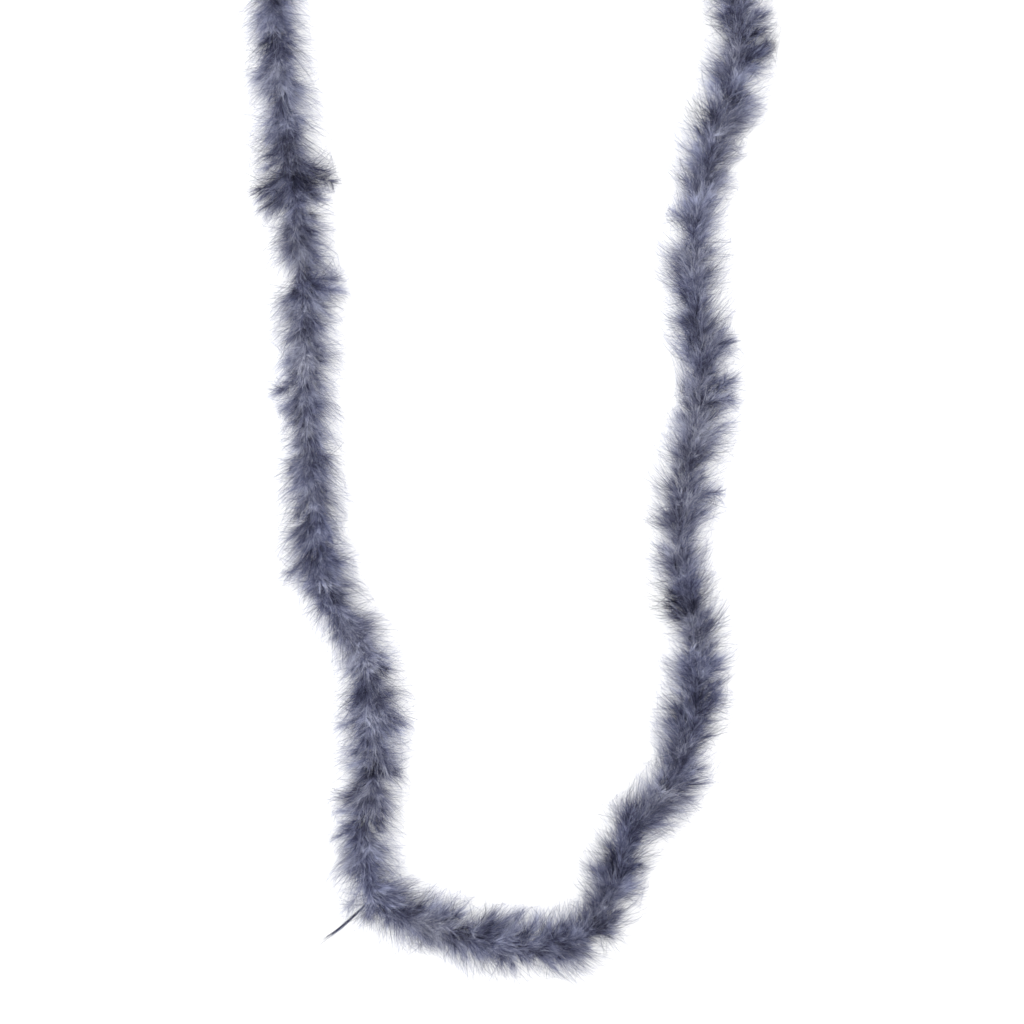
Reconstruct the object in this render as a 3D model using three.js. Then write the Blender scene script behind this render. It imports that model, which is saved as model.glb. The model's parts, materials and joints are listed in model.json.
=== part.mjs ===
// A marabou feather boa, two yards long, laid flat in a tall U. Millimetres, +Z up, resting on z = 0.
// A core cord runs from end to end, knotted before each tail. A thread wound round the cord binds the
// plumes' quills to it, and the plumes stand round both in short sleeves, each pinched in at both ends,
// so that the boa bends between them. A sleeve, its thread and its cord make one link of the chain.

import {
  CatmullRomCurve3, Curve, ExtrudeGeometry, Group, LatheGeometry, MathUtils, Mesh,
  MeshStandardMaterial, Shape, SphereGeometry, Vector2, Vector3,
} from 'three';

// Driving dimensions
const CORD_RADIUS = 1.5;
const CORD_SIDES = 8; // and of the thread round it
const CORD_STEPS = 6; // in each link
const CORD_HEIGHT = 17; // of the cord's centre above the table, inside the plumes
const TOUCH_GAP = 0.3; // between pieces that touch
const CORD_SETBACK = 1.5; // from the end of a link's cord to the bend between two links
const THREAD_SETBACK = 3; // the same for its thread
const SLEEVE_SETBACK = 4; // and for the end face of its sleeve
const SLEEVE_SIDES = 12;
const THREAD_THICKNESS = 0.6;
const SLEEVE_RADIUS = 21; // of a full sleeve before the table flattens it
const TAIL_LENGTH = 20; // of cord past each knot
const TAIL_RADIUS = 1.3;
const TAIL_STEPS = 3;
const KNOT_RADIUS = 4;
const DROP_FROM = 12; // from each end of the cord, where it starts to rise from the table
const DROP_TO = 75; // and where it is at its full height

// The cord's line on the table, from the left end down, round the bottom and up to the right end
const ROUTE = [
  [-186, 427], [-187, 356], [-180, 280], [-172, 203], [-164, 117], [-162, 49], [-157, -27],
  [-152, -79], [-138, -129], [-118, -163], [-109, -207], [-109, -258], [-114, -309], [-113, -346],
  [-91, -371], [-55, -385], [-21, -396], [14, -402], [48, -398], [72, -382], [81, -357], [89, -334],
  [100, -308], [120, -283], [137, -258], [146, -230], [151, -195], [151, -155], [142, -115],
  [138, -79], [142, -27], [152, 21], [155, 55], [151, 101], [148, 152], [156, 212], [169, 257],
  [181, 290], [184, 335], [178, 427],
];

// The three stretches of the boa: where each one ends along the cord, and its sleeves' half-widths
const STRETCHES = [
  { name: 'left', end: 732, halfWidths: [26, 24, 26, 22, 22, 25, 26] },
  { name: 'bottom', end: 1022, halfWidths: [24, 24, 24] },
  { name: 'right', end: 1828, halfWidths: [24, 23, 23, 23, 24, 22, 25, 27] },
];

const MATERIALS = {
  plumes: { color: 0x62647a, roughness: 0.95, metalness: 0 },
  cord: { color: 0x4a4a5c, roughness: 0.9, metalness: 0 },
  thread: { color: 0x3c3d4e, roughness: 0.8, metalness: 0 },
};

// The cord's line, measured along its length

const flatRoute = new CatmullRomCurve3(ROUTE.map(([x, y]) => new Vector3(x, y, 0)), false, 'centripetal');
flatRoute.arcLengthDivisions = 4000;
const CORD_LENGTH = flatRoute.getLength();

function heightAt(distance) {
  const fromEnd = Math.min(distance, CORD_LENGTH - distance);
  const tailHeight = TAIL_RADIUS + 0.2;
  return MathUtils.lerp(tailHeight, CORD_HEIGHT, MathUtils.smoothstep(fromEnd, DROP_FROM, DROP_TO));
}

function pointAt(distance) {
  const point = flatRoute.getPointAt(MathUtils.clamp(distance / CORD_LENGTH, 0, 1));
  point.z = heightAt(distance);
  return point;
}

/** Axes of the section at a distance: across the boa on the table, along it, and up. */
function axesAt(distance) {
  const along = pointAt(distance + 0.5).sub(pointAt(distance - 0.5)).normalize();
  const across = new Vector3().crossVectors(along, new Vector3(0, 0, 1)).normalize();
  const up = new Vector3().crossVectors(across, along);
  return { across, along, up };
}

/** The stretch of the cord's line between two distances, as a curve for an extrusion. */
class CordSpan extends Curve {
  constructor(from, to) {
    super();
    this.from = from;
    this.to = to;
  }

  getPoint(t, target = new Vector3()) {
    return target.copy(pointAt(MathUtils.lerp(this.from, this.to, t)));
  }
}

// Pieces

function cordPiece(from, to, radius, steps) {
  const section = new Shape();
  for (let side = 0; side < CORD_SIDES; side += 1) {
    const angle = (side / CORD_SIDES) * 2 * Math.PI;
    const corner = new Vector2(radius * Math.cos(angle), radius * Math.sin(angle));
    if (side === 0) section.moveTo(corner.x, corner.y);
    else section.lineTo(corner.x, corner.y);
  }
  section.closePath();
  const extrudePath = new CordSpan(from, to);
  return new ExtrudeGeometry(section, { steps, bevelEnabled: false, extrudePath });
}

/** A straight turned piece, its y measured along the cord, bent to lie along the cord's line. */
function bendAlongCord(turned, place = (vertex) => vertex) {
  const position = turned.getAttribute('position');
  for (let index = 0; index < position.count; index += 1) {
    const vertex = new Vector3().fromBufferAttribute(position, index);
    const { across, up } = axesAt(vertex.y);
    const offset = place(vertex.clone());
    const bent = pointAt(vertex.y).addScaledVector(across, offset.x).addScaledVector(up, offset.z);
    position.setXYZ(index, bent.x, bent.y, Math.max(bent.z, 0)); // the table flattens what lies on it
  }
  return turned;
}

/** The distances between a link's ends where its cord bends, so that its thread and sleeve bend there too. */
function stationsInside(cordFrom, cordTo) {
  const stations = [];
  for (let step = 1; step < CORD_STEPS; step += 1) {
    stations.push(MathUtils.lerp(cordFrom, cordTo, step / CORD_STEPS));
  }
  return stations;
}

/** The radius of a hole of so many sides whose flats clear a round piece. */
function holeAround(pieceRadius, sides) {
  return (pieceRadius + TOUCH_GAP) / Math.cos(Math.PI / sides);
}

const THREAD_HOLE = holeAround(CORD_RADIUS, CORD_SIDES);
const THREAD_RADIUS = THREAD_HOLE + THREAD_THICKNESS;
const SLEEVE_HOLE = holeAround(THREAD_RADIUS, SLEEVE_SIDES);

/** The outer shape of the thread's windings, a thin tube round the cord. */
function bindingThread(from, to, stations) {
  const distances = [from, ...stations, to];
  const outside = distances.map((at) => new Vector2(THREAD_RADIUS, at));
  const hole = distances.toReversed().map((at) => new Vector2(THREAD_HOLE, at));
  return bendAlongCord(new LatheGeometry([...outside, ...hole, outside[0].clone()], CORD_SIDES));
}

/** A spindle of plumes with a hole for the bound cord. */
function plumeSleeve(from, to, stations, halfWidth) {
  const taper = [[0, 4.3], [6, 11], [12, 17.5], [19, SLEEVE_RADIUS]]; // [inset from an end face, radius]
  const fullInset = taper.at(-1)[0];
  const full = stations.filter((at) => at > from + fullInset + 1 && at < to - fullInset - 1);
  const outside = [
    ...taper.map(([inset, radius]) => new Vector2(radius, from + inset)),
    ...full.map((at) => new Vector2(SLEEVE_RADIUS, at)),
    ...taper.toReversed().map(([inset, radius]) => new Vector2(radius, to - inset)),
  ];
  const hole = [to, ...stations.toReversed(), from].map((at) => new Vector2(SLEEVE_HOLE, at));
  const turned = new LatheGeometry([...outside, ...hole, outside[0].clone()], SLEEVE_SIDES);
  return bendAlongCord(turned, (vertex) => {
    const inHole = Math.hypot(vertex.x, vertex.z) < SLEEVE_HOLE + 0.01;
    if (!inHole) vertex.x *= halfWidth / SLEEVE_RADIUS;
    return vertex;
  });
}

function knot(centre) {
  const ball = new SphereGeometry(KNOT_RADIUS, 12, 8);
  ball.rotateX(Math.PI / 2);
  const place = pointAt(centre);
  return ball.translate(place.x, place.y, Math.max(place.z, KNOT_RADIUS));
}

// Assembly

const boa = new Group();
boa.name = 'feather_boa';

function add(name, geometry, material) {
  const mesh = new Mesh(geometry, new MeshStandardMaterial(MATERIALS[material]));
  mesh.name = name;
  boa.add(mesh);
}

const knotReach = TAIL_LENGTH + TOUCH_GAP + 2 * KNOT_RADIUS + TOUCH_GAP; // from a cord end to its first link

let stretchStart = 0;
for (const { name, end, halfWidths } of STRETCHES) {
  const linkLength = (end - stretchStart) / halfWidths.length;
  halfWidths.forEach((halfWidth, index) => {
    const start = stretchStart + index * linkLength;
    const finish = start + linkLength;
    const first = start === 0 ? knotReach - CORD_SETBACK : start;
    const last = finish > CORD_LENGTH - 1 ? CORD_LENGTH - knotReach + CORD_SETBACK : finish;
    const cordFrom = first + CORD_SETBACK;
    const cordTo = last - CORD_SETBACK;
    const stations = stationsInside(cordFrom, cordTo);
    const number = index + 1;
    add(`${name}_core_cord_${number}`, cordPiece(cordFrom, cordTo, CORD_RADIUS, CORD_STEPS), 'cord');
    add(
      `${name}_binding_thread_${number}`,
      bindingThread(first + THREAD_SETBACK, last - THREAD_SETBACK, stations),
      'thread',
    );
    add(
      `${name}_plume_sleeve_${number}`,
      plumeSleeve(first + SLEEVE_SETBACK, last - SLEEVE_SETBACK, stations, halfWidth),
      'plumes',
    );
  });
  stretchStart = end;
}

const knotCentre = TAIL_LENGTH + TOUCH_GAP + KNOT_RADIUS;
add('left_end_knot', knot(knotCentre), 'cord');
add('right_end_knot', knot(CORD_LENGTH - knotCentre), 'cord');
add('left_cord_tail', cordPiece(0, TAIL_LENGTH, TAIL_RADIUS, TAIL_STEPS), 'cord');
add('right_cord_tail', cordPiece(CORD_LENGTH - TAIL_LENGTH, CORD_LENGTH, TAIL_RADIUS, TAIL_STEPS), 'cord');

export default boa;
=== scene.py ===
import json
import math

import bpy
import numpy as np
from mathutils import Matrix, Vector


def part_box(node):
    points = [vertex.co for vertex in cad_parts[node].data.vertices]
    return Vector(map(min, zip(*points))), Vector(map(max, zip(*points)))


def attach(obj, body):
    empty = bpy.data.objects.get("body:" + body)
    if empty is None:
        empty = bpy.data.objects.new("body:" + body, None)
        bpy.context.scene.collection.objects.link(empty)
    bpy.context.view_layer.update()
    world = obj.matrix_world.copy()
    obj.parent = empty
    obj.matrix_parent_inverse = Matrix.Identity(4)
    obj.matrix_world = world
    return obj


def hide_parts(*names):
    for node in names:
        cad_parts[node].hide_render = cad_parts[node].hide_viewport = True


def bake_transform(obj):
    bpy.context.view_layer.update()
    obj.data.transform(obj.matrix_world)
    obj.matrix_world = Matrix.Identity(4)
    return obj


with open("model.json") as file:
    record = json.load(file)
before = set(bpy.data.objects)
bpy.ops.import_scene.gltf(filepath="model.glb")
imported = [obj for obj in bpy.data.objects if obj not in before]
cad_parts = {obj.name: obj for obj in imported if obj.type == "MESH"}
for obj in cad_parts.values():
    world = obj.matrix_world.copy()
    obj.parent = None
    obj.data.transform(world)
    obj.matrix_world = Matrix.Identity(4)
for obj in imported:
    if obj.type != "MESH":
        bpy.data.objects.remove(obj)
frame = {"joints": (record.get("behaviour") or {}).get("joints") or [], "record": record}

# A marabou feather boa lying on a table in a tall U: a core cord, plumes bound to it with a thread, a knot
# near each end, and frayed tips. It is made in pieces that run from the middle of one link of the frame to
# the middle of the next.

MM = 0.001
SEED = 29
rng = np.random.default_rng(SEED)
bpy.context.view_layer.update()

# ---------------------------------------------------------------- the cord's line, as in the CAD source

ROUTE_MM = [
    (-186, 427), (-187, 356), (-180, 280), (-172, 203), (-164, 117), (-162, 49), (-157, -27),
    (-152, -79), (-138, -129), (-118, -163), (-109, -207), (-109, -258), (-114, -309), (-113, -346),
    (-91, -371), (-55, -385), (-21, -396), (14, -402), (48, -398), (72, -382), (81, -357), (89, -334),
    (100, -308), (120, -283), (137, -258), (146, -230), (151, -195), (151, -155), (142, -115),
    (138, -79), (142, -27), (152, 21), (155, 55), (151, 101), (148, 152), (156, 212), (169, 257),
    (181, 290), (184, 335), (178, 427),
]
ROUTE_STEPS = 60           # of the line between two of its points
CORD_DIAMETER = 3 * MM
CORD_HEIGHT = 17 * MM      # of the cord's centre above the table, inside the plumes
TAIL_HEIGHT = 1.5 * MM
DROP_FROM = 12 * MM        # from each end of the cord, where it starts to rise from the table
DROP_TO = 75 * MM          # and where it is at its full height
KNOT_REACH = 28.6 * MM     # from each end of the cord to just past its knot


def smoothstep(x):
    """0 below 0, 1 above 1, and a smooth rise between."""
    x = np.clip(x, 0, 1)
    return x * x * (3 - 2 * x)


def unit(v):
    """The vectors, each made 1 long."""
    return v / np.maximum(np.linalg.norm(v, axis=-1, keepdims=True), 1e-12)


def centripetal_spline(points, steps):
    """A Catmull-Rom spline through the points, spaced by the square root of their distances."""
    ends = [2 * points[0] - points[1], *points, 2 * points[-1] - points[-2]]
    line = []
    for before, start, stop, after in zip(ends, ends[1:], ends[2:], ends[3:]):
        gap_0, gap_1, gap_2 = (
            math.sqrt(np.linalg.norm(b - a)) for a, b in ((before, start), (start, stop), (stop, after))
        )
        middle = (stop - start) / gap_1
        leave = ((start - before) / gap_0 - (stop - before) / (gap_0 + gap_1) + middle) * gap_1
        arrive = (middle - (after - start) / (gap_1 + gap_2) + (after - stop) / gap_2) * gap_1
        t = np.linspace(0, 1, steps, endpoint=False)[:, None]
        square = -3 * start + 3 * stop - 2 * leave - arrive
        cube = 2 * start - 2 * stop + leave + arrive
        line.append(start + leave * t + square * t**2 + cube * t**3)
    return np.vstack([*line, points[-1]])


class Route:
    """The cord's centreline, read by the distance along it from the left end."""

    def __init__(self, points_mm):
        flat = centripetal_spline([np.array(p, float) * MM for p in points_mm], ROUTE_STEPS)
        self.at = np.r_[0, np.cumsum(np.linalg.norm(np.diff(flat, axis=0), axis=1))]
        self.length = self.at[-1]
        from_end = np.minimum(self.at, self.length - self.at)
        rise = smoothstep((from_end - DROP_FROM) / (DROP_TO - DROP_FROM))
        self.points = np.c_[flat, TAIL_HEIGHT + (CORD_HEIGHT - TAIL_HEIGHT) * rise]

    def point(self, distance):
        """The cord's centre at each distance."""
        return np.stack([np.interp(distance, self.at, self.points[:, k]) for k in range(3)], -1)

    def axes(self, distance, reach=3 * MM):
        """Unit vectors along the cord, across it on the table, and up, at each distance."""
        distance = np.clip(distance, reach, self.length - reach)
        along = unit(self.point(distance + reach) - self.point(distance - reach))
        across = unit(np.cross(along, (0.0, 0.0, 1.0)))
        return along, across, np.cross(across, along)

    def nearest(self, place):
        """The distance along the cord to where it passes nearest to a place on the table."""
        return self.at[np.linalg.norm(self.points[:, :2] - np.array(place[:2]), axis=1).argmin()]


route = Route(ROUTE_MM)

# ---------------------------------------------------------------- links, hinges and pieces

link_nodes = frame["record"]["behaviour"]["bodies"]


def node_of(link, kind):
    """A link's CAD node of one kind: core_cord, binding_thread or plume_sleeve."""
    return next(node for node in link_nodes[link] if kind in node)


def middle_of(link):
    """The distance along the cord to the middle of a link."""
    low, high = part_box(node_of(link, "core_cord"))
    return route.nearest((low + high) / 2)


links = sorted(link_nodes, key=middle_of)
hinge_at = sorted(route.nearest(joint["pos_m"]) for joint in frame["joints"])
link_ends = [0.0, *hinge_at, route.length]
link_middles = [(start + end) / 2 for start, end in zip(link_ends, link_ends[1:])]
# Piece k runs from the middle of link k to the middle of link k + 1, and the end ones to the boa's ends
piece_ends = [0.0, *link_middles[1:-1], route.length]
piece_spans = list(zip(piece_ends, piece_ends[1:]))
last_piece = len(piece_spans) - 1


def stand_for(piece, index, kind):
    """Bakes the transform of piece index, and hides the CAD nodes of that kind that it stands in for."""
    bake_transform(piece)
    covered = [links[index]]
    if index == last_piece:
        covered.append(links[-1])
    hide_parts(*[node_of(link, kind) for link in covered])


# ---------------------------------------------------------------- camera

VIEW_WIDTH = 0.8192        # across the picture at the cord's height
VIEW_CENTRE = (0.003, -0.053)
LENS = 85                  # mm
SENSOR = 36                # mm
camera = bpy.data.objects.new("camera", bpy.data.cameras.new("camera"))
camera.data.lens = LENS
camera.data.sensor_width = SENSOR
camera.location = (*VIEW_CENTRE, CORD_HEIGHT + VIEW_WIDTH / SENSOR * LENS)
bpy.context.scene.collection.objects.link(camera)
bpy.context.scene.camera = camera

# ---------------------------------------------------------------- materials

# Colours of the down from its dark roots to its palest tips, as (tone, colour). Partly the down's own
# colour, and partly painted shade at the roots, deep in the down, and painted light at the tips, where light
# comes through.
DOWN_COLOURS = [
    (0.0, (30, 30, 46)), (0.3, (70, 71, 94)), (0.6, (120, 122, 144)), (0.85, (165, 167, 184)),
    (1.0, (205, 207, 216)),
]
# Its uneven dye, as (strength of a soft noise, what the colour is multiplied by there)
DOWN_TINTS = [(0.35, (0.94, 0.97, 1.12, 1)), (0.65, (1.03, 1.03, 1.06, 1))]
DYE_SCALE = 22.0           # of that noise
DYE_DETAIL = 2.0
DOWN_ROUGHNESS = 0.75
DOWN_SHINE = 0.25
LIGHT_THROUGH = 0.3        # share of the light on a barb that comes through to its other side
CORD_ROUGHNESS = 0.85
CORD_DETAIL = 4.0          # of the noise in its shades


def new_material(name):
    """An empty material, its nodes and its wires."""
    material = bpy.data.materials.new(name)
    material.use_nodes = True
    material.node_tree.nodes.clear()
    return material, material.node_tree.nodes, material.node_tree.links


def srgb(*values):
    """A colour given as 0 to 255 values, as linear numbers."""
    return [(v / 255 / 12.92) if v <= 10 else ((v / 255 + 0.055) / 1.055) ** 2.4 for v in values] + [1.0]


def set_stops(ramp, stops):
    """Gives a new colour ramp its stops, in order, as (position, colour)."""
    elements = ramp.color_ramp.elements
    for element, (position, colour) in ((elements[0], stops[0]), (elements[1], stops[-1])):
        element.position = position
        element.color = colour
    for position, colour in stops[1:-1]:
        elements.new(position).color = colour


def down_material():
    """Marabou down: dark at its roots and paler towards its tips, partly its dye and partly painted shade
    and light, with light coming through it.
    """
    material, nodes, wires = new_material("marabou_down")
    output = nodes.new("ShaderNodeOutputMaterial")
    mix = nodes.new("ShaderNodeMixShader")
    mix.inputs[0].default_value = LIGHT_THROUGH
    solid = nodes.new("ShaderNodeBsdfPrincipled")
    solid.inputs["Roughness"].default_value = DOWN_ROUGHNESS
    solid.inputs["Specular IOR Level"].default_value = DOWN_SHINE
    glow = nodes.new("ShaderNodeBsdfTranslucent")
    tone = nodes.new("ShaderNodeAttribute")
    tone.attribute_name = "tone"
    ramp = nodes.new("ShaderNodeValToRGB")
    set_stops(ramp, [(position, srgb(*colour)) for position, colour in DOWN_COLOURS])
    place = nodes.new("ShaderNodeTexCoord")
    cloud = nodes.new("ShaderNodeTexNoise")
    cloud.inputs["Scale"].default_value = DYE_SCALE
    cloud.inputs["Detail"].default_value = DYE_DETAIL
    dyed = nodes.new("ShaderNodeMix")
    dyed.data_type = "RGBA"
    dyed.blend_type = "MULTIPLY"
    dyed.inputs["Factor"].default_value = 1.0
    tint = nodes.new("ShaderNodeValToRGB")
    set_stops(tint, DOWN_TINTS)
    wires.new(tone.outputs["Fac"], ramp.inputs["Fac"])
    wires.new(place.outputs["Object"], cloud.inputs["Vector"])
    wires.new(cloud.outputs["Fac"], tint.inputs["Fac"])
    wires.new(ramp.outputs["Color"], dyed.inputs["A"])
    wires.new(tint.outputs["Color"], dyed.inputs["B"])
    wires.new(dyed.outputs["Result"], solid.inputs["Base Color"])
    wires.new(dyed.outputs["Result"], glow.inputs["Color"])
    wires.new(solid.outputs[0], mix.inputs[1])
    wires.new(glow.outputs[0], mix.inputs[2])
    wires.new(mix.outputs[0], output.inputs["Surface"])
    return material


def cord_material(name, dark, light, scale):
    """Cotton: fine flecks of two shades."""
    material, nodes, wires = new_material(name)
    output = nodes.new("ShaderNodeOutputMaterial")
    solid = nodes.new("ShaderNodeBsdfPrincipled")
    solid.inputs["Roughness"].default_value = CORD_ROUGHNESS
    place = nodes.new("ShaderNodeTexCoord")
    fibres = nodes.new("ShaderNodeTexNoise")
    fibres.inputs["Scale"].default_value = scale
    fibres.inputs["Detail"].default_value = CORD_DETAIL
    ramp = nodes.new("ShaderNodeValToRGB")
    set_stops(ramp, [(0.0, srgb(*dark)), (1.0, srgb(*light))])
    wires.new(place.outputs["Object"], fibres.inputs["Vector"])
    wires.new(fibres.outputs["Fac"], ramp.inputs["Fac"])
    wires.new(ramp.outputs["Color"], solid.inputs["Base Color"])
    wires.new(solid.outputs[0], output.inputs["Surface"])
    return material


down = down_material()
cord_cotton = cord_material("cord_cotton", (52, 52, 68), (96, 97, 116), 900)
thread_cotton = cord_material("thread_cotton", (40, 41, 56), (78, 80, 98), 1500)

# ---------------------------------------------------------------- meshes


def mesh_object(name, points, faces, material, attributes=()):
    """An object from an array of vertices and an array of faces of equal sides, or a list of such arrays.

    Each attribute is a name and a value for every vertex.
    """
    mesh = bpy.data.meshes.new(name)
    blocks = [np.asarray(block, np.int32) for block in (faces if isinstance(faces, list) else [faces])]
    sizes = np.concatenate([np.full(len(b), b.shape[1], np.int32) for b in blocks])
    corners = np.concatenate([b.ravel() for b in blocks])
    mesh.vertices.add(len(points))
    mesh.vertices.foreach_set("co", np.ascontiguousarray(points, np.float32).ravel())
    mesh.loops.add(len(corners))
    mesh.loops.foreach_set("vertex_index", corners)
    mesh.polygons.add(len(sizes))
    mesh.polygons.foreach_set("loop_start", np.r_[0, np.cumsum(sizes)[:-1]].astype(np.int32))
    mesh.polygons.foreach_set("use_smooth", np.ones(len(sizes), bool))
    mesh.update(calc_edges=True)
    for attribute, values in attributes:
        layer = mesh.attributes.new(attribute, "FLOAT", "POINT")
        layer.data.foreach_set("value", np.ascontiguousarray(values, np.float32).ravel())
    mesh.materials.append(material)
    piece = bpy.data.objects.new(name, mesh)
    bpy.context.scene.collection.objects.link(piece)
    return piece


def tube(line, radius, sides, axis=(0.12, 0.05, 1.0)):
    """A closed round tube along a line that never runs along axis: its points, walls and end caps."""
    along = unit(np.gradient(line, axis=0))
    across = unit(np.cross(along, axis))
    up = np.cross(across, along)
    turn = np.linspace(0, 2 * math.pi, sides, endpoint=False)[None, :, None]
    ring = across[:, None] * np.cos(turn) + up[:, None] * np.sin(turn)
    points = (line[:, None] + ring * radius).reshape(-1, 3)
    row, side = np.meshgrid(np.arange(len(line) - 1), np.arange(sides), indexing="ij")
    after = (side + 1) % sides
    corners = [row * sides + after, row * sides + side, (row + 1) * sides + side, (row + 1) * sides + after]
    walls = np.stack(corners, -1).reshape(-1, 4)
    caps = np.array([np.arange(sides), np.arange(sides)[::-1] + (len(line) - 1) * sides])
    return points, walls, caps


def joined(tubes):
    """Several tubes' points and faces as one mesh's."""
    firsts = np.cumsum([0] + [len(points) for points, _, _ in tubes])
    points = np.concatenate([part[0] for part in tubes])
    walls = np.concatenate([part[1] + first for part, first in zip(tubes, firsts)])
    caps = np.concatenate([part[2] + first for part, first in zip(tubes, firsts)])
    return points, [walls, caps]


# ---------------------------------------------------------------- where the down is uneven

# Places along the boa, as (distance along the cord, side, change, reach), in mm but for the change. Side +1
# is to the right of the way the plumes lie, -1 to the left, and 0 all round. First the places where larger
# plumes are bound, as a share of their size:
TUFTS = [
    (100, 1, 0.1, 20), (209, 1, 0.85, 12), (209, -1, 0.9, 12), (296, -1, 1.2, 8), (370, 1, 0.9, 8),
    (470, 1, 0.3, 10), (515, 1, 0.9, 14), (590, -1, 0.15, 14), (635, 1, 0.65, 11), (640, -1, 0.9, 10),
    (680, -1, 0.45, 12), (705, 1, 0.3, 14), (712, -1, 0.5, 8), (728, 1, 0.3, 12), (786, 1, 0.35, 12),
    (895, -1, 0.45, 40), (1000, 1, 0.1, 17), (1070, -1, 0.1, 17), (1108, 1, 0.2, 12), (1143, -1, 0.3, 14),
    (1178, 1, 0.45, 9), (1178, -1, 0.3, 9), (1212, 1, 0.25, 9), (1250, -1, 0.3, 9), (1320, 1, 0.2, 12),
    (1345, 1, 0.3, 12), (1400, 1, 0.2, 12), (1430, 1, 1.1, 9), (1466, 1, 0.5, 9), (1556, -1, 0.2, 10),
    (1660, 1, 0.2, 10), (1670, -1, 0.5, 10), (1700, 1, 0.3, 16), (1722, 1, 0.3, 9), (1740, -1, 0.1, 12),
]
# Then the places where the down reaches less far from the cord than elsewhere, or further:
REACHES = [
    (95, 1, -0.25, 8), (140, -1, -0.2, 10), (220, 0, 0.15, 14), (260, 1, -0.45, 9), (272, -1, -0.25, 8),
    (305, -1, 0.3, 9), (320, 1, -0.2, 9), (357, 1, -0.65, 13), (395, -1, -0.25, 16), (410, 1, -0.65, 11),
    (440, 0, -0.2, 10), (500, -1, -0.6, 11), (525, 1, 0.2, 12), (548, 1, -0.3, 8), (540, -1, -0.3, 14),
    (583, 1, -0.35, 13), (650, -1, 0.1, 9), (695, -1, -0.4, 8), (725, -1, -0.3, 8), (742, 1, -0.4, 9),
    (770, 1, -0.55, 11), (860, 1, -0.65, 19), (950, 1, -0.5, 12), (1002, -1, -0.4, 20), (1040, 1, -0.4, 12),
    (1098, -1, -0.5, 14), (1130, 1, -0.3, 9), (1130, -1, -0.6, 9), (1160, 1, -0.7, 10), (1205, 1, -0.5, 8),
    (1250, -1, -0.3, 9), (1300, 1, -0.4, 14), (1325, 0, -0.3, 9), (1443, 1, 0.3, 13), (1445, -1, -0.65, 40),
    (1490, 1, -0.35, 8), (1520, -1, -0.45, 10), (1592, -1, -0.65, 12), (1590, 1, -0.4, 16),
    (1625, 1, -0.65, 9), (1655, 1, -0.5, 10), (1715, 1, -0.14, 40), (1745, -1, -0.2, 8),
]
# Then small dark pits, where the down parts and shows its roots: painted shade, as a change of tone:
PAINTED_PIT_SHADES = [
    (218, 0, -0.14, 7), (305, 1, -0.15, 8), (402, 0, -0.2, 7), (640, 0, -0.12, 8), (1042, 0, -0.16, 10),
    (1175, 0, -0.12, 9), (1275, -1, -0.2, 9), (1490, 0, -0.14, 9), (1660, -1, -0.4, 7), (1722, 1, -0.35, 12),
]
# Last, stretches that are darker or paler all round, as (distance, change of tone, reach):
SHADES = [
    (208, -0.2, 18), (345, 0.15, 20), (385, 0.12, 15), (500, -0.08, 15), (620, 0.08, 15), (960, -0.1, 25),
    (1040, -0.28, 17), (1170, -0.1, 15), (1262, -0.28, 12), (1400, 0.1, 12), (1485, -0.12, 15),
    (1570, 0.1, 15), (1695, 0.15, 12), (1725, -0.2, 12),
]
WAVE_RATES = (1, 1.63, 0.71)        # of the sines in an irregular wave
# Irregular waves along the boa, as (height, length, seed)
CROWDING = (6 * MM, 45 * MM, 5)     # of where plumes are bound
SWAY = (1.5, 85 * MM, 12)           # of their swing, in radians
FULLNESS = (0.05, 52 * MM, 11)      # of their size
LUMPS = (0.16, 27 * MM, 13)         # of their size, at other distances on each side
RAISING = (9, 61 * MM, 8)           # of their opening, in degrees
BANDS = [(0.1, 64 * MM, 3), (0.1, 21 * MM, 4)]      # of their tone
FLECKS = (0.17, 31 * MM, 6)         # of their tone, at other distances on each side
BRUSHING = [(1, 90 * MM, 9), (0.8, 33 * MM, 14)]    # of how the down is brushed
LUMP_SLANT = 14 * MM                # how far a lump on one side lies from its place at the top
LUMP_TURN = 0.7                     # radians round the cord, from the side to the most of that
FLECK_SLANT = 12 * MM               # the same for a fleck


def near(distance, at, reach):
    """1 at a place along the cord, given in mm, and fading to nothing past its reach."""
    return np.exp(-(((distance / MM - at) / reach) ** 2))


def change_at(places, distance, azimuth):
    """The sum of the places' changes at a distance and a direction round the cord."""
    total = np.zeros_like(distance)
    for at, side, change, reach in places:
        facing = np.maximum(side * np.sin(azimuth), 0) if side else 1.0
        total += change * near(distance, at, reach) * facing
    return total


def shade(distance):
    """How much paler or darker the plumes are at a distance along the cord."""
    return sum(change * near(distance, at, reach) for at, change, reach in SHADES)


def wave(distance, height, length, seed):
    """A smooth irregular wave along the cord, from -height to height."""
    phases = np.random.default_rng(seed).uniform(0, 2 * math.pi, len(WAVE_RATES))
    turns = 2 * math.pi * distance / length
    sines = sum(np.sin(rate * turns + phase) for rate, phase in zip(WAVE_RATES, phases))
    return height * (sines / len(WAVE_RATES))


def mottle(points):
    """A smooth irregular change through space, mostly between -1 and 1, in lumps of about a plume's size."""
    directions = unit(np.array([(1, 0.3, 0.5), (-0.4, 1, 0.6), (0.7, -0.8, 0.3), (0.2, 0.5, -1)]))
    lengths = np.array([24, 31, 17, 20]) * MM
    return np.sin(points @ directions.T * 2 * math.pi / lengths + np.arange(4)).sum(-1) / 3


# ---------------------------------------------------------------- plumes

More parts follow.
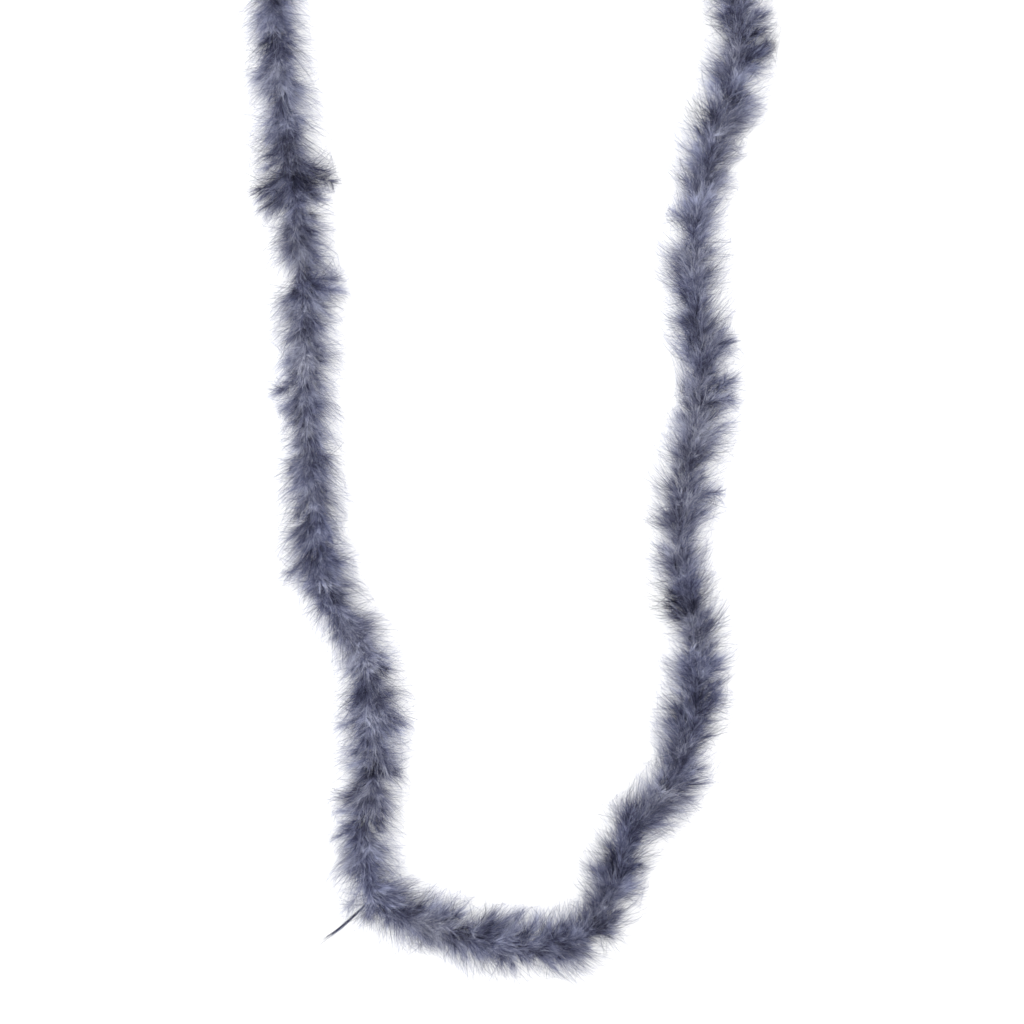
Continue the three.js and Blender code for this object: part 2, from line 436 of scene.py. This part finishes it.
# How the plumes lie. A pair is a mean and a deviation
PLUME_SPACING = 1.35 * MM           # along the cord, from one plume to the next
GOLDEN_ANGLE = math.pi * (3 - math.sqrt(5))     # round the cord, from one plume to the next
TURN_CHANGE = (0, 0.5)              # radians from that
SWING = (0.3, 0.7)                  # radians round the cord, from a plume's foot to its tip
SWING_SEEN = 0.6                    # share of its swing at which a plume is fullest
QUILL_LENGTH = 17 * MM
LEAST_BEND = 0.01                   # radians from a quill's foot to its tip, because it is an arc
SIZE_CHANGE = (1, 0.12)
LEAST_SIZE = 0.4
OPENING = 19                        # degrees between the cord and a plume's foot
TUFT_OPENING = 48                   # degrees more where the plumes are twice as large
OPENING_CHANGE = (0, 8)
TIP_OPENING = (24, 9)               # degrees more at a plume's tip
TONE_CHANGE = (0, 0.06)
LOCKS = (10, 25)                    # of clinging barbs on each side of a plume: fewest, one past the most

# Single plumes that stick straight out, as (distance along the cord in mm, degrees round it from the top).
# They are long and dark, and all their barbs cling to a point
STICKING_OUT = [(799, 90)]
STICKING_OPENING = (84, 92)         # degrees from the cord, at foot and tip
STICKING_SIZE = 2.3
STICKING_TONE = -0.22
STICKING_SPLAY = 0.08               # share of their spread that the barbs keep


class Plumes:
    """The plumes bound between two distances along the cord: where each starts and how it lies."""

    def __init__(self, start, end):
        self.count = int((end - start) / PLUME_SPACING)
        spread = (np.arange(self.count) + rng.uniform(0, 1, self.count)) / self.count
        self.at = start + (end - start) * spread
        self.at += wave(self.at, *CROWDING)
        self.azimuth = np.arange(self.count) * GOLDEN_ANGLE + rng.normal(*TURN_CHANGE, self.count)
        self.swing = rng.normal(*SWING, self.count) + wave(self.at, *SWAY)
        swollen = change_at(TUFTS, self.at, self.azimuth + SWING_SEEN * self.swing)
        size = 1 + swollen + wave(self.at, *FULLNESS)
        size += wave(self.at + LUMP_SLANT * np.sin(self.azimuth + LUMP_TURN), *LUMPS)
        self.size = np.maximum(size * rng.normal(*SIZE_CHANGE, self.count), LEAST_SIZE)
        opening = OPENING + TUFT_OPENING * swollen + wave(self.at, *RAISING)
        self.open_base = np.radians(opening + rng.normal(*OPENING_CHANGE, self.count))
        self.open_tip = self.open_base + np.radians(rng.normal(*TIP_OPENING, self.count))
        self.tone = sum(wave(self.at, *band) for band in BANDS)
        self.tone += wave(self.at + FLECK_SLANT * np.sin(self.azimuth), *FLECKS)
        self.tone += shade(self.at) + rng.normal(*TONE_CHANGE, self.count)
        self.locks = rng.integers(*LOCKS, self.count)
        self.splay = np.ones(self.count)
        for at, degrees in STICKING_OUT:
            if start <= at * MM < end:
                self.stick_out(np.abs(self.at - at * MM).argmin(), math.radians(degrees))

    def stick_out(self, plume, azimuth):
        """Turns one plume straight out from the cord."""
        self.azimuth[plume] = azimuth
        self.swing[plume] = 0
        self.open_base[plume], self.open_tip[plume] = np.radians(STICKING_OPENING)
        self.size[plume] = STICKING_SIZE
        self.tone[plume] = STICKING_TONE
        self.locks[plume] = 1
        self.splay[plume] = STICKING_SPLAY


# ---------------------------------------------------------------- barbs

BARBS = 250                         # on each plume
BARB_PLACES = (1.1, 0.9)            # a and b of their beta spread along a quill, fuller near its tip
BARB_LENGTH = 13.8 * MM
BARB_WIDTH = 0.2 * MM               # of a barb with its fine barbules
STRAY_SHARE = 0.3                   # of the barbs cling to no lock
WISP_SHARE = 0.11                   # of the barbs are fine hairs that reach past the rest
STRAY_WIDTH = 0.75                  # of a stray barb, as a share of the others'
CLINGING = (0.6, 0.97)              # how closely the rest keep to their lock at their tips, least and most
CLINGING_POWER = 0.8                # of how that grows from foot to tip
BOW = 1.0 * MM                      # how far a barb sways from its curve
# Places along a barb, 0 at its foot, and shares of its width and of its sway at each
ROWS = np.array([0.0, 0.3, 0.65, 1.0])
ROW_WIDTHS = np.array([0.8, 1.0, 0.75, 0.0])
ROW_BOWS = np.array([0.0, 1.0, -0.7, 0.6])

# A barb leans from its quill by its spread, tilts out of the plume's plane, and its tip curls back to a
# share of the spread. Angles are in radians, but for the first two
SPREAD = 60                         # degrees at the quill's foot
SPREAD_LOSS = 20                    # degrees less at the quill's tip
FACE_SPREAD = 0.55                  # share of the spread on top of the cord and under it
EDGE_SPREAD = 0.45                  # and the share more at its sides
TILT = 0.1
CURL = 0.65
LENGTH_LOSS = 0.3                   # share less at the quill's tip
# Painted shade and light as well as the down's own colour: a barb's tone is lowest at its foot, where shade
# falls deep in the down, and rises towards the quill's tip and its own tip
ROOT_TONE = 0.2
QUILL_FADE = 0.22                   # how much paler the barbs at a quill's tip are
FADE, WISP_FADE = 0.68, 0.5         # how much paler a barb's tip is than its foot
PAINTED_MOTTLE_SHADE = 0.25                       # painted light and shade: paler and darker patches over the lumps and hollows of the down

# How far one lock differs from another, to either side
LOCK_SPREAD = 0.4
LOCK_TILT = 0.8
LOCK_CURL = 0.5
LOCK_LENGTH = 0.2
LOCK_TONE = 0.23

# How far a barb differs from its lock, a stray one too, and how a wisp lies, as means and deviations
BARB_SPREAD, STRAY_SPREAD, WISP_SPREAD = (0, 0.2), (0.15, 0.4), (0.8, 0.35)
BARB_TILT, STRAY_TILT, WISP_TILT = (0, 0.4), (0.3, 0.8), (0.8, 0.5)
BARB_CURL, WISP_CURL = (0, 0.35), (0.7, 0.35)
BARB_LOG_LENGTH = (-0.2, 0.48)
BARB_TONE = (0, 0.11)
BARB_BOW = (0, BOW / 3)
BARB_LOG_WIDTH = (0, 0.25)
BARB_FACING = (0, 0.8)              # of each part of the way that a ribbon faces
WISP_SHORTEST = 1.7                 # of a barb's length
WISP_FURTHER = 1.2                  # mean of how much longer it is
WISP_LONGEST = 4


def heading(forward, lean, angle):
    """The direction at an angle from forward towards lean, with room for the rows."""
    return (np.cos(angle)[:, None] * forward + np.sin(angle)[:, None] * lean)[:, None]


class Barbs:
    """Barbs on their plumes' quills, each with its own lean, curl and length."""

    def __init__(self, plumes, owner, u, side, lock):
        """Gives barbs at u along their quills, 0 at the cord, the habit of the lock that they are in."""
        self.plumes, self.owner, self.u, self.side = plumes, owner, u, side

        def chance(seed):
            """A number from -1 to 1 that a lock's barbs share, another for each seed."""
            scattered = np.sin(lock * 12.99 + owner * 78.23 + side + seed) * 43758.5
            return np.modf(np.abs(scattered))[0] * 2 - 1

        edgeways = np.abs(np.sin(plumes.azimuth[owner]))
        spread = np.radians(SPREAD - SPREAD_LOSS * u) * (FACE_SPREAD + EDGE_SPREAD * edgeways)
        length = BARB_LENGTH * plumes.size[owner] * (1.0 - LENGTH_LOSS * u)
        self.spread = spread + LOCK_SPREAD * chance(1.3)
        self.tilt = TILT + LOCK_TILT * chance(2.7)
        self.curl = CURL + LOCK_CURL * chance(3.1)
        self.length = length * (1 + LOCK_LENGTH * chance(4.9))
        self.bow = BOW * chance(6.1)
        self.tone = ROOT_TONE + QUILL_FADE * u + plumes.tone[owner] + LOCK_TONE * chance(5.7)

    def vary(self, stray, wisp):
        """Sets each barb apart from its neighbours, and the stray ones and the wisps further."""
        total = len(self.u)
        self.spread += np.where(stray, rng.normal(*STRAY_SPREAD, total), rng.normal(*BARB_SPREAD, total))
        self.tilt += np.where(stray, rng.normal(*STRAY_TILT, total), rng.normal(*BARB_TILT, total))
        self.curl += rng.normal(*BARB_CURL, total)
        self.length *= rng.lognormal(*BARB_LOG_LENGTH, total)
        self.tone += rng.normal(*BARB_TONE, total)
        self.bow += rng.normal(*BARB_BOW, total)
        wisps = wisp.sum()
        reach = WISP_SHORTEST + rng.exponential(WISP_FURTHER, wisps)
        self.length[wisp] = BARB_LENGTH * np.minimum(reach, WISP_LONGEST)
        self.spread[wisp] = rng.normal(*WISP_SPREAD, wisps)
        self.tilt[wisp] = rng.normal(*WISP_TILT, wisps)
        self.curl[wisp] = rng.normal(*WISP_CURL, wisps)

    def paths(self):
        """The points of each barb at ROWS, as if the cord ran straight: along, across and up.

        After them, the way out from the cord at each barb's foot.
        """
        plumes, owner = self.plumes, self.owner
        azimuth = plumes.azimuth[owner] + plumes.swing[owner] * self.u
        base_angle = plumes.open_base[owner]
        change = plumes.open_tip[owner] - base_angle
        change = np.where(np.abs(change) < LEAST_BEND, LEAST_BEND, change)
        angle = base_angle + change * self.u
        quill = QUILL_LENGTH * plumes.size[owner] / change
        along = quill * (np.sin(angle) - np.sin(base_angle))
        out = CORD_DIAMETER / 2 + quill * (np.cos(base_angle) - np.cos(angle))
        sin_a, cos_a = np.sin(azimuth), np.cos(azimuth)
        foot = np.stack([along, out * sin_a, out * cos_a], -1)
        forward = np.stack([np.cos(angle), np.sin(angle) * sin_a, np.sin(angle) * cos_a], -1)
        sideways = np.stack([np.zeros_like(out), cos_a, -sin_a], -1)
        outward = np.stack([-np.sin(angle), np.cos(angle) * sin_a, np.cos(angle) * cos_a], -1)
        lean = (self.side * np.cos(self.tilt))[:, None] * sideways + np.sin(self.tilt)[:, None] * outward
        spread = self.spread * plumes.splay[owner]
        leave = heading(forward, lean, spread)
        arrive = heading(forward, lean, spread * self.curl)
        v = ROWS[None, :, None]
        bowed = np.cross(forward, lean)[:, None] * (self.bow[:, None] * ROW_BOWS)[..., None]
        curve = self.length[:, None, None] * (leave * v + (arrive - leave) * v**2 / 2)
        return foot[:, None] + curve + bowed, outward


# ---------------------------------------------------------------- how the down lies on the table

FOLLOW = 0.35                       # how far a plume follows the cord's bends past its own base
BRUSHED = 6 * MM                    # how far the down is brushed to one side or the other
BRUSHED_OVER = 30 * MM              # from a plume's base
BRUSHED_ON = 1.3                    # how far on the brushing still grows, as a share of that
LOWEST = 0.3 * MM                   # of any barb above the table
TABLE_CUSHION = 6 * MM              # height below which barbs spread over the table
TOP_SOFT, TOP_MOST = 30 * MM, 47 * MM       # heights where the down packs together, and its top
REACH_SOFT, REACH_MOST = 30 * MM, 36.6 * MM     # the same for its distance from the cord
YIELDING = (0.45, 1.1)              # least and most share of a place's reach that a barb gives way to


def ease(value, soft, most):
    """The value itself up to soft, and from there ever closer to most."""
    room = most - soft
    return np.where(value < soft, value, soft + room * (1 - np.exp(-np.maximum(value - soft, 0) / room)))


def hold_in(paths, at):
    """Draws in the tips that would reach too far from the cord."""
    distance = np.linalg.norm(paths[..., 1:], axis=-1)
    azimuth = np.arctan2(paths[..., 1], paths[..., 2])
    yielding = rng.uniform(*YIELDING, len(paths))
    room = 1 + change_at(REACHES, at[:, None] + paths[..., 0], azimuth) * yielding[:, None]
    held = ease(distance / room, REACH_SOFT, REACH_MOST) * room
    paths[..., 1:] *= (held / np.maximum(distance, 1e-9))[..., None]
    return paths


def brush(paths, at):
    """Brushes the down to the left in some stretches and to the right in others."""
    onward = np.clip(paths[..., 0] / BRUSHED_OVER, 0, BRUSHED_ON) ** 2
    paths[..., 1] += BRUSHED * sum(wave(at, *part) for part in BRUSHING)[:, None] * onward
    return paths


def lay_down(paths, at):
    """Bends straight-cord points round the cord's line, and packs the down between table and top."""
    shift = paths[..., 0]
    follow = at[:, None] + FOLLOW * shift
    along, across, up = route.axes(follow)
    placed = (route.point(follow) + along * (shift * (1 - FOLLOW))[..., None]
              + across * paths[..., 1, None] + up * paths[..., 2, None])
    height = ease(placed[..., 2], TOP_SOFT, TOP_MOST)
    pressed = TABLE_CUSHION * np.exp(np.minimum(height - TABLE_CUSHION, 0) / TABLE_CUSHION)
    placed[..., 2] = LOWEST + np.where(height < TABLE_CUSHION, pressed, height)
    return placed


# ---------------------------------------------------------------- the down


def ribbons(placed, outward, at, stray):
    """Two edges and a tip for each barb: a flat ribbon along its placed points, turned by chance."""
    total = len(placed)
    along, across, up = route.axes(at)
    facing = unit(outward + rng.normal(*BARB_FACING, (total, 3)))
    facing = facing[:, :1] * along + facing[:, 1:2] * across + facing[:, 2:] * up
    width = BARB_WIDTH * np.where(stray, STRAY_WIDTH, 1.0) * rng.lognormal(*BARB_LOG_WIDTH, total)
    edge = unit(np.cross(np.gradient(placed, axis=1), facing[:, None]))
    edge *= (width[:, None] * ROW_WIDTHS / 2)[..., None]
    left, right = placed - edge, placed + edge
    edges = np.stack([left[:, :-1], right[:, :-1]], 2).reshape(total, -1, 3)
    return np.concatenate([edges, placed[:, -1:]], 1)


def ribbon_faces(total):
    """Quads up each ribbon and a triangle at its tip."""
    steps = len(ROWS) - 1
    each = 2 * steps + 1
    first = np.arange(total)[:, None] * each
    rows = np.arange(steps - 1) * 2
    quads = np.stack([first + rows, first + rows + 1, first + rows + 3, first + rows + 2], -1).reshape(-1, 4)
    tips = np.stack([first[:, 0] + each - 3, first[:, 0] + each - 2, first[:, 0] + each - 1], -1)
    return [quads, tips]


def grow_barbs(start, end):
    """A ribbon for every barb of the plumes bound between two distances: its points and their tones."""
    plumes = Plumes(start, end)
    owner = np.repeat(np.arange(plumes.count), BARBS)
    total = len(owner)
    u = rng.beta(*BARB_PLACES, total)
    side = np.where(rng.random(total) < 0.5, -1.0, 1.0)
    locks = plumes.locks[owner]
    lock = np.floor(u * locks)
    wisp = rng.random(total) < WISP_SHARE
    stray = (rng.random(total) < STRAY_SHARE) | wisp

    barbs = Barbs(plumes, owner, u, side, lock)
    barbs.vary(stray, wisp)
    paths, outward = barbs.paths()
    lock_paths = Barbs(plumes, owner, (lock + 0.5) / locks, side, lock).paths()[0]
    clinging = np.where(stray, 0, rng.uniform(*CLINGING, total))[:, None, None]
    paths += (lock_paths - paths) * (clinging * ROWS[None, :, None] ** CLINGING_POWER)

    at = plumes.at[owner]
    free = plumes.splay[owner] == 1
    paths[free] = hold_in(brush(paths[free], at[free]), at[free])
    placed = lay_down(paths, at)
    points = ribbons(placed, outward, at, stray)

    # Painted shade at each barb's foot and painted light towards its tip, with its own tone
    tone = barbs.tone[:, None] + np.where(wisp, WISP_FADE, FADE)[:, None] * ROWS
    # Painted light and shade in patches, for the lumps and hollows of the down
    tone += PAINTED_MOTTLE_SHADE * mottle(placed)
    # Painted shade in the small pits
    azimuth = np.arctan2(paths[..., 1], paths[..., 2])
    tone += change_at(PAINTED_PIT_SHADES, at[:, None] + paths[..., 0], azimuth)
    tones = np.concatenate([np.repeat(tone[:, :-1], 2, axis=1), tone[:, -1:]], 1)
    return points, np.clip(tones, 0, 1)


def make_plumes(index, start, end):
    """The plumes of piece index, bound between two distances along the cord."""
    points, tones = grow_barbs(start, end)
    piece = mesh_object(f"{links[index]}_plumes", points.reshape(-1, 3), ribbon_faces(len(points)), down,
                        [("tone", tones)])
    stand_for(piece, index, "plume_sleeve")


BINDING_GAP = 2 * MM                # from a knot to the thread, and to the first plumes
LAST_PLUME = 24 * MM                # from the right knot to the last plumes, which lie towards it
bound_from = KNOT_REACH + BINDING_GAP
bound_to = route.length - KNOT_REACH - BINDING_GAP
plumes_to = route.length - KNOT_REACH - LAST_PLUME

for index, (start, end) in enumerate(piece_spans):
    make_plumes(index, max(start, bound_from), min(end, plumes_to))

# ---------------------------------------------------------------- cord, thread, knots and frayed ends

PLIES = 3
PLY_RADIUS = 0.7 * MM
PLY_SIDES = 8
PLY_OFFSET = 0.8 * MM               # from the cord's centre to each ply's
PLY_PITCH = 11 * MM
PLY_STEP = 0.9 * MM                 # along the cord, from one ring of a ply's mesh to the next
THREAD_RADIUS = 0.3 * MM
THREAD_SIDES = 6
THREAD_PITCH = 4 * MM
THREAD_PHASE = 0.4
THREAD_STEP = 0.35 * MM
KNOT_MIDDLE = 24.3 * MM             # from each end of the cord
KNOT_RADIUS = 4 * MM
KNOT_PLY = 1.0 * MM
KNOT_SIDES = 12
KNOT_STEPS = 120
KNOT_DEPTH = 1.35                   # of the trefoil along the cord
TREFOIL_RADIUS = 3                  # across the cord, before it is scaled
FRAY_FIBRES = 90
FRAY_LENGTH = 7 * MM
FRAY_SHORTEST = 0.5                 # as a share of that
FRAY_TILT = 0.45                    # radians from the cord, at most
FRAY_STEPS = 6
FRAY_WANDER = 0.3 * MM              # from step to step
FRAY_OFFSET = 0.9 * MM              # from the cord's centre to each fibre's foot
FRAY_FOOT = 1 * MM                  # inside the cord's end
FRAY_LOWEST = 0.2 * MM              # above the table
FIBRE_RADIUS = 0.12 * MM
FIBRE_SIDES = 5


def helix(distances, radius, pitch, phase):
    """A line that winds round the cord's centreline."""
    along, across, up = route.axes(distances)
    turn = 2 * math.pi * distances / pitch + phase
    return route.point(distances) + radius * (across * np.cos(turn)[:, None] + up * np.sin(turn)[:, None])


def make_cord(index, start, end):
    """The twisted plies of piece index between two distances, and the cord's centreline there."""
    distances = np.linspace(start, end, int((end - start) / PLY_STEP))
    plies = [tube(helix(distances, PLY_OFFSET, PLY_PITCH, 2 * math.pi * k / PLIES), PLY_RADIUS, PLY_SIDES)
             for k in range(PLIES)]
    cord = mesh_object(f"{links[index]}_cord", *joined(plies), cord_cotton)
    stand_for(cord, index, "core_cord")
    return cord, route.point(distances)


def make_thread(index, start, end):
    """The thread of piece index, which binds the quills to the cord."""
    distances = np.linspace(start, end, int((end - start) / THREAD_STEP))
    line = helix(distances, CORD_DIAMETER / 2 + THREAD_RADIUS, THREAD_PITCH, THREAD_PHASE)
    wound = tube(line, THREAD_RADIUS, THREAD_SIDES)
    thread = mesh_object(f"{links[index]}_thread", *joined([wound]), thread_cotton)
    stand_for(thread, index, "binding_thread")


def make_knot(side, link, middle):
    """An overhand knot drawn tight: a trefoil round the cord."""
    low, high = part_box(f"{side}_end_knot")
    centre = np.array((low + high) / 2)
    along, across, up = (axis[0] for axis in route.axes(np.array([middle])))
    t = np.linspace(0, 2 * math.pi, KNOT_STEPS)
    size = (KNOT_RADIUS - KNOT_PLY) / TREFOIL_RADIUS
    line = centre + size * ((np.sin(t) + 2 * np.sin(2 * t))[:, None] * across
                            + (np.cos(t) - 2 * np.cos(2 * t))[:, None] * up
                            - KNOT_DEPTH * np.sin(3 * t)[:, None] * along)
    knot = mesh_object(f"{side}_knot", *joined([tube(line, KNOT_PLY, KNOT_SIDES, along)]), cord_cotton)
    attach(knot, link)
    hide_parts(f"{side}_end_knot")
    return knot


def make_fray(side, link, end, inward):
    """Loose fibres at one of the cord's cut ends. Inward is 1 if the cord runs on from it, else -1."""
    along, across, up = (axis[0] for axis in route.axes(np.array([end])))
    away = -inward * along
    foot = route.point(np.array([end]))[0] + inward * along * FRAY_FOOT
    turn = rng.uniform(0, 2 * math.pi, FRAY_FIBRES)
    tilt = rng.uniform(0, FRAY_TILT, FRAY_FIBRES)
    length = FRAY_LENGTH * rng.uniform(FRAY_SHORTEST, 1, FRAY_FIBRES)
    lean = np.cos(turn)[:, None] * across + np.sin(turn)[:, None] * up
    reach = np.linspace(0, 1, FRAY_STEPS)[None, :, None]
    lines = (foot + FRAY_OFFSET * lean[:, None] + length[:, None, None] * reach
             * (np.cos(tilt)[:, None] * away + np.sin(tilt)[:, None] * lean)[:, None])
    lines += FRAY_WANDER * np.cumsum(rng.normal(0, 1, lines.shape), axis=1) * reach
    lines[..., 2] = np.maximum(lines[..., 2], FRAY_LOWEST)
    fibres = [tube(line, FIBRE_RADIUS, FIBRE_SIDES) for line in lines]
    fray = mesh_object(f"{side}_fray", *joined(fibres), cord_cotton)
    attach(fray, link)
    return fray


for index, (start, end) in enumerate(piece_spans):
    cord, line = make_cord(index, start, end)
    with_pieces = []
    if index == 0:
        line = line[::-1]
        with_pieces = [make_knot("left", links[0], KNOT_MIDDLE), make_fray("left", links[0], 0.0, 1)]
        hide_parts("left_cord_tail")
    if index == last_piece:
        with_pieces = [make_knot("right", links[-1], route.length - KNOT_MIDDLE),
                       make_fray("right", links[-1], route.length, -1)]
        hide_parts("right_cord_tail")
    make_thread(index, max(start, bound_from), min(end, bound_to))

# ---------------------------------------------------------------- table and light

TABLE_REACH = 15                    # of the table each way from the boa
TABLE_WHITE = 0.93
SKY_LIGHT = 0.85


def make_table():
    """A white table top far wider than the view."""
    material, nodes, wires = new_material("table")
    shader = nodes.new("ShaderNodeBsdfDiffuse")
    shader.inputs["Color"].default_value = (TABLE_WHITE, TABLE_WHITE, TABLE_WHITE, 1)
    wires.new(shader.outputs[0], nodes.new("ShaderNodeOutputMaterial").inputs["Surface"])
    corners = np.array([(-1, -1, 0), (1, -1, 0), (1, 1, 0), (-1, 1, 0)], float) * TABLE_REACH
    mesh_object("table", corners, np.array([[0, 1, 2, 3]]), material)


def area_light(name, place, target, size, power):
    """A round soft light at a place, turned to a target."""
    light = bpy.data.objects.new(name, bpy.data.lights.new(name, "AREA"))
    light.data.shape = "DISK"
    light.data.size = size
    light.data.energy = power
    light.location = place
    light.rotation_euler = (Vector(target) - Vector(place)).to_track_quat("-Z", "Y").to_euler()
    bpy.context.scene.collection.objects.link(light)


def make_sky():
    """An even white light from all round."""
    world = bpy.data.worlds.new("studio")
    world.use_nodes = True
    background = world.node_tree.nodes["Background"]
    background.inputs["Color"].default_value = (1, 1, 1, 1)
    background.inputs["Strength"].default_value = SKY_LIGHT
    bpy.context.scene.world = world


make_table()
area_light("softbox_over", place=(0.0, 0.1, 2.4), target=(0, 0, 0), size=1.6, power=42)
area_light("softbox_side", place=(-1.7, 0.9, 1.6), target=(0, 0, 0), size=1.2, power=14)
make_sky()
bpy.context.scene.view_settings.view_transform = "Standard"
